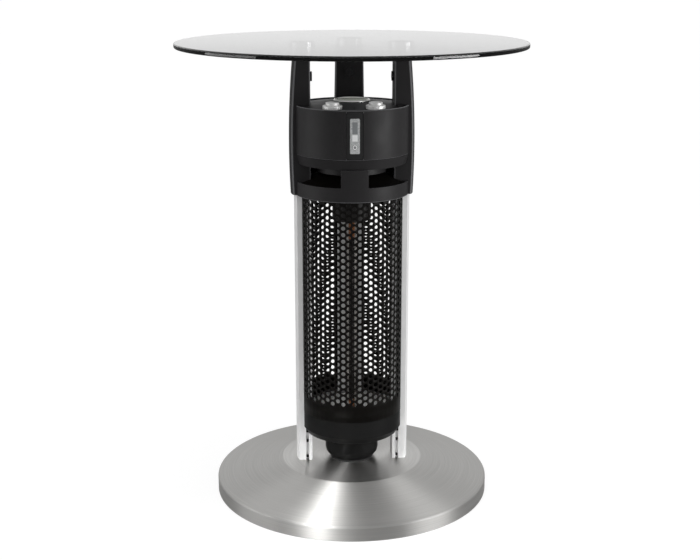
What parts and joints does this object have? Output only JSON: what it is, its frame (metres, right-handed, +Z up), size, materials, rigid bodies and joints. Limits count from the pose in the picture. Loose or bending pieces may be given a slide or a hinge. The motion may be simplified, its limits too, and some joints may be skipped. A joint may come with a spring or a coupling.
{
  "type": "outdoor heater",
  "caption": "Bistro-table patio heater: round smoked-glass top on arms, control and speaker head, perforated guard round an upright lamp, aluminium posts, heavy round steel base.",
  "frame": {"origin": "on the floor, under the middle of the round base", "axes": "+Z up along the column, front with the window and knobs towards -Y, left post at -X"},
  "size_m": [0.5999, 0.6, 0.808],
  "materials": {
    "smoked_glass": "tempered, dark grey, polished edge",
    "disc_metal": "polished",
    "black_moulding": "fine moulded texture",
    "bezel_plastic": "satin black",
    "clear_lens": "clear",
    "knob_metal": "bright satin",
    "trim_metal": "satin",
    "speaker_mesh": "fine perforated grey",
    "speaker_parts": "matt black",
    "magnet": "dull",
    "spindle_steel": "turned",
    "control_plastic": "moulded",
    "white_plastic": "white",
    "receiver_plastic": "smoky grey",
    "circuit_board": "green lacquer",
    "supply_case": "plain",
    "shield_steel": "heat-proof dark grey",
    "lamp_holder": "matt black",
    "end_ceramic": "unglazed ceramic, off-white",
    "quartz": "clear",
    "copper": "copper, dull",
    "carbon": "carbon fibre",
    "guard_steel": "black heat-proof coating, perforated",
    "post_aluminium": "satin anodised extrusion",
    "black_screws": "black oxide",
    "cup_plastic": "fine moulded texture",
    "rubber": "matt",
    "gland_plastic": "black nylon",
    "lead_rubber": "matt black",
    "brushed_base": "brushed round the axis",
    "plate_steel": "plain",
    "ballast_iron": "rough cast",
    "hardware_steel": "zinc plated"
  },
  "bodies": {
    "frame": {"glass_top": "smoked_glass", "glass_discs": "disc_metal", "disc_lock_screws": "black_screws", "arm_left": "black_moulding", "arm_right": "black_moulding", "arm_back": "black_moulding", "drum_shell": "black_moulding", "top_plate": "black_moulding", "speaker_ring": "trim_metal", "speaker_grille": "speaker_mesh", "speaker_basket": "speaker_parts", "speaker_cone": "speaker_parts", "speaker_magnet": "magnet", "heat_switch": "control_plastic", "volume_control": "control_plastic", "window_bezel": "bezel_plastic", "window_lens": "clear_lens", "button_switch": "control_plastic", "status_light": "white_plastic", "remote_receiver": "receiver_plastic", "control_board": "circuit_board", "power_supply": "supply_case", "drum_skirt": "black_moulding", "inner_housing": "black_moulding", "vent_collar": "black_moulding", "heat_shield": "shield_steel", "upper_lamp_holder": "lamp_holder", "upper_end_cap": "end_ceramic", "lower_end_cap": "end_ceramic", "lamp_clips": "copper", "quartz_tube": "quartz", "carbon_element": "carbon", "lower_lamp_holder": "lamp_holder", "lower_reflector": "disc_metal", "mesh_front": "guard_steel", "mesh_back_left": "guard_steel", "mesh_back_right": "guard_steel", "post_left": "post_aluminium", "post_right": "post_aluminium", "post_back": "post_aluminium", "post_top_screws": "black_screws", "slot_screws": "black_screws", "lower_cup": "cup_plastic", "socket": "cup_plastic", "socket_gasket": "rubber", "tip_over_switch": "control_plastic", "cable_gland": "gland_plastic", "supply_lead": "lead_rubber", "base_cover": "brushed_base", "mounting_plate": "plate_steel", "ballast": "ballast_iron", "spacer_tubes": "hardware_steel", "base_bolts": "hardware_steel", "bottom_plate": "plate_steel", "rubber_feet": "rubber"},
    "heat_knob": {"heat_knob": "knob_metal", "heat_shaft": "spindle_steel"},
    "volume_knob": {"volume_knob": "knob_metal", "volume_shaft": "spindle_steel"},
    "power_button": {"power_button": "white_plastic"}
  },
  "joints": [
    {"name": "heat_knob_turn", "type": "hinge", "parent": "frame", "child": "heat_knob", "pos_m": [-0.0361, -0.07, 0.7079], "axis": [0, 0, -1], "range_deg": [0, 180]},
    {"name": "volume_knob_turn", "type": "hinge", "parent": "frame", "child": "volume_knob", "pos_m": [0.0361, -0.07, 0.7079], "axis": [0, 0, -1], "range_deg": [0, 300]},
    {"name": "power_button_press", "type": "slide", "parent": "frame", "child": "power_button", "axis": [0, 1, 0], "range_m": [0, 0.001], "stiffness_N_per_m": 1500, "springref_m": -0.0005}
  ]
}
